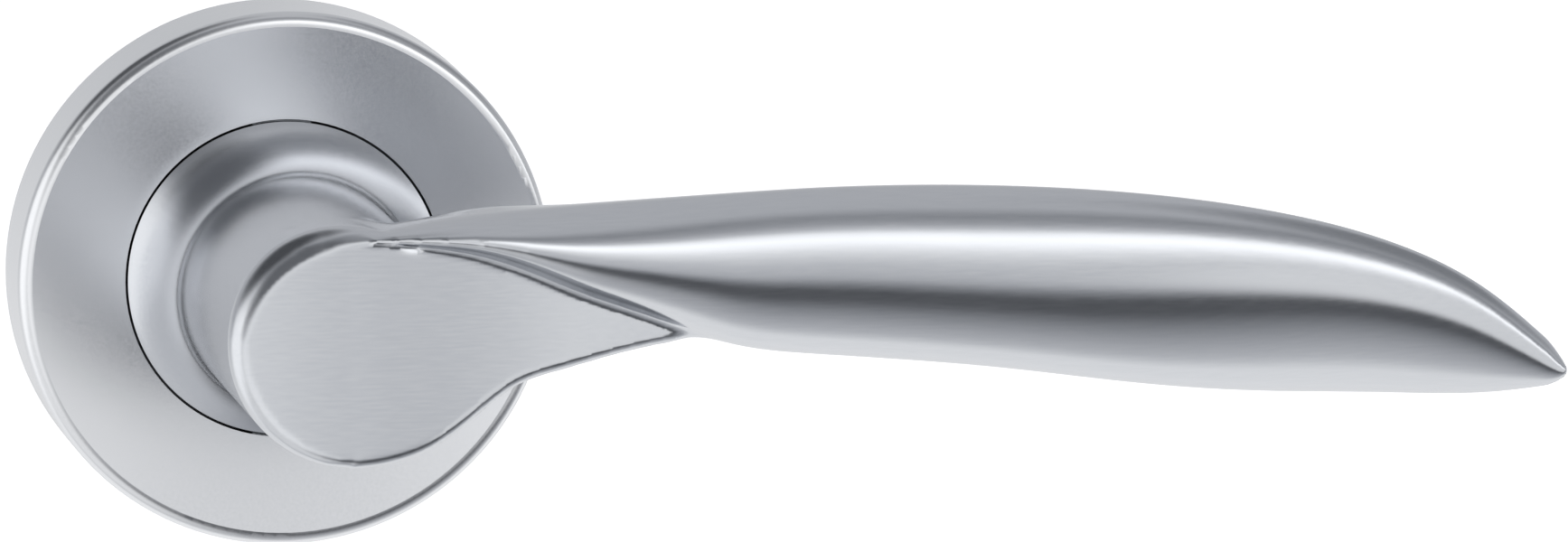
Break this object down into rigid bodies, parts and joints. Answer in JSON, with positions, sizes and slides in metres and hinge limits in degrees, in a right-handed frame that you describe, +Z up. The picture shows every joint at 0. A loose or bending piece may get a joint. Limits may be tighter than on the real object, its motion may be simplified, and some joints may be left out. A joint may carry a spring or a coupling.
{
  "type": "lever handle on round rose",
  "caption": "Leaf-shaped door lever on a round rose, with its sprung cassette, square spindle and concealed through fixings.",
  "frame": {"origin": "centre of the rose's back face, on the spindle's axis", "axes": "+X along the grip, -Y out of the door towards the user, +Y into the door along the spindle, +Z up"},
  "size_m": [0.1446, 0.101, 0.052],
  "materials": {
    "satin_steel": "satin brushed stainless steel",
    "plated_steel": "zinc plated steel",
    "black_steel": "black oxide",
    "cast_zinc": "die-cast zinc alloy",
    "white_nylon": "natural nylon",
    "sintered_steel": "sintered steel",
    "spring_steel": "drawn spring steel",
    "brass_plated": "yellow zinc plated steel"
  },
  "bodies": {
    "rose": {"mounting_plate": "cast_zinc", "door_pad": "white_nylon", "cassette_lid": "plated_steel", "lid_screws": "plated_steel", "front_bush": "white_nylon", "rear_bush": "white_nylon", "stop_pins": "plated_steel", "return_spring": "spring_steel", "retaining_ring": "spring_steel", "through_bolts": "plated_steel", "bolt_washers": "plated_steel", "locating_sleeves": "sintered_steel", "wood_screws": "brass_plated"},
    "lever": {"lever": "satin_steel", "spindle": "plated_steel", "grub_screw": "black_steel", "rotor": "sintered_steel", "circlip": "spring_steel", "spring_washer": "spring_steel"},
    "cover": {"rose_cover": "satin_steel"}
  },
  "joints": [
    {"name": "lever_turn", "type": "hinge", "parent": "rose", "child": "lever", "pos_m": [0, 0, 0], "axis": [0, 1, 0], "range_deg": [0, 45], "stiffness_Nm_per_rad": 0.5, "springref_deg": -68.75, "deforming": ["return_spring"]},
    {"name": "cover_slide", "type": "slide", "parent": "rose", "child": "cover", "axis": [0, -1, 0], "range_m": [0, 0.02]}
  ]
}
